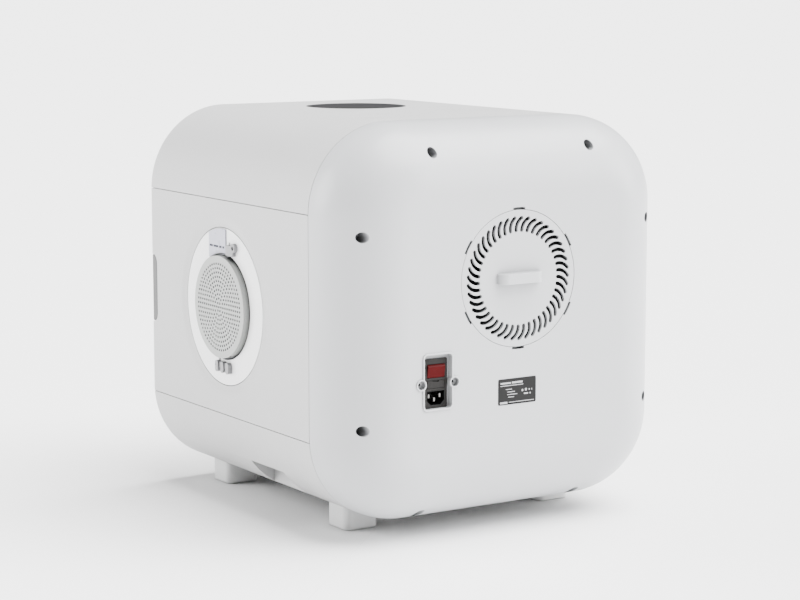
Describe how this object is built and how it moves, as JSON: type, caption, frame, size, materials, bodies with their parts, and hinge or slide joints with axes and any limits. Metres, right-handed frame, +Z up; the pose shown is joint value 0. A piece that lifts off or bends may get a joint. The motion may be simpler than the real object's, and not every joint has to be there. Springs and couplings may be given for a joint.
{
  "type": "pet drying cabinet",
  "caption": "Compact rounded cabinet appliance with a hinged front door, filtered rear air intake, swivelling side vent discs, round top display and a switched mains inlet.",
  "frame": {"origin": "bottom centre of the whole object's box, on the surface that the feet stand on", "axes": "+Z up, -Y towards the front door, +Y towards the rear cover, +X towards the side with the finger notch"},
  "size_m": [0.44, 0.465, 0.454],
  "materials": {
    "casing_white": "satin moulded",
    "rear_white": "satin moulded",
    "frame_white": "satin moulded",
    "liner_white": "semi-gloss",
    "foot_white": "fine texture",
    "window_tint": "clear tinted panel",
    "grip_grey": "satin",
    "seal_rubber": "soft seal",
    "steel": "zinc plated",
    "magnet_grey": "plated",
    "ring_white": "gloss",
    "bracket_clear": "translucent gloss",
    "tab_clear": "frosted translucent",
    "vent_grey": "satin",
    "filter_foam": "open foam",
    "machine_grey": "moulded",
    "rotor_black": "moulded",
    "motor_metal": "cast",
    "heater_metal": "bare",
    "board_green": "solder mask",
    "component_dark": "moulded",
    "display_dark": "polished",
    "sensor_black": "moulded",
    "inlet_grey": "fine texture",
    "socket_black": "moulded",
    "pin_nickel": "nickel plated",
    "rocker_red": "translucent gloss",
    "fuse_glass": "clear",
    "label_film": "printed film"
  },
  "bodies": {
    "cabinet": {"top_cover": "casing_white", "bottom_cover": "casing_white", "side_panel_right": "casing_white", "side_panel_left": "casing_white", "rear_cover": "rear_white", "front_frame": "frame_white", "cabin_liner": "liner_white", "outlet_grille": "liner_white", "temperature_sensor": "sensor_black", "latch_magnets": "magnet_grey", "hinge_pins": "steel", "port_ring_right": "ring_white", "port_ring_left": "ring_white", "port_brackets_right": "bracket_clear", "port_brackets_left": "bracket_clear", "port_tab_right": "tab_clear", "port_tab_left": "tab_clear", "filter_foam": "filter_foam", "intake_guard": "machine_grey", "intake_shroud": "machine_grey", "bulkhead": "machine_grey", "rear_cover_screws": "steel", "blower_volute": "machine_grey", "blower_motor": "motor_metal", "outlet_duct": "machine_grey", "heater_frame": "heater_metal", "heater_fins": "heater_metal", "power_board": "board_green", "power_board_parts": "component_dark", "ionizer": "machine_grey", "display_lens": "display_dark", "display_board": "board_green", "inlet_housing": "inlet_grey", "inlet_socket": "socket_black", "inlet_pins": "pin_nickel", "inlet_screws": "steel", "rear_label": "label_film", "feet": "foot_white", "foot_screws": "steel"},
    "door": {"door_frame": "frame_white", "door_window": "window_tint", "door_grip": "grip_grey", "door_gasket": "seal_rubber", "door_strikes": "steel"},
    "rotor": {"blower_rotor": "rotor_black", "blower_shaft": "steel"},
    "filter_lid": {"filter_cover": "rear_white"},
    "rocker": {"power_rocker": "rocker_red"},
    "fuse_tray": {"fuse_drawer": "inlet_grey", "mains_fuse": "fuse_glass"},
    "vent_right": {"vent_disc_right": "vent_grey", "vent_pins_right": "steel"},
    "vent_left": {"vent_disc_left": "vent_grey", "vent_pins_left": "steel"},
    "floor": {"floor_grille": "liner_white"}
  },
  "joints": [
    {"name": "door_hinge", "type": "hinge", "parent": "cabinet", "child": "door", "pos_m": [-0.2005, -0.2285, 0.237], "axis": [0, 0, -1], "range_deg": [0, 105]},
    {"name": "rotor_spin", "type": "hinge", "parent": "cabinet", "child": "rotor", "pos_m": [0, 0.13, 0.284], "axis": [0, 1, 0], "continuous": true},
    {"name": "filter_twist", "type": "hinge", "parent": "cabinet", "child": "filter_lid", "pos_m": [0, 0.2205, 0.284], "axis": [0, 1, 0], "range_deg": [0, 20]},
    {"name": "rocker_tilt", "type": "hinge", "parent": "cabinet", "child": "rocker", "pos_m": [0.1044, 0.213, 0.1916], "axis": [1, 0, 0], "range_deg": [0, 18]},
    {"name": "fuse_slide", "type": "slide", "parent": "cabinet", "child": "fuse_tray", "axis": [0, 1, 0], "range_m": [0, 0.012]},
    {"name": "vent_right_swivel", "type": "hinge", "parent": "cabinet", "child": "vent_right", "pos_m": [0.213, -0.0546, 0.2355], "axis": [0, 0.1857, 0.9826], "range_deg": [-30, 30]},
    {"name": "vent_left_swivel", "type": "hinge", "parent": "cabinet", "child": "vent_left", "pos_m": [-0.213, -0.0546, 0.2355], "axis": [0, 0.1857, 0.9826], "range_deg": [-30, 30]},
    {"name": "floor_lift", "type": "slide", "parent": "cabinet", "child": "floor", "axis": [0, 0, 1], "range_m": [0, 0.03]}
  ]
}
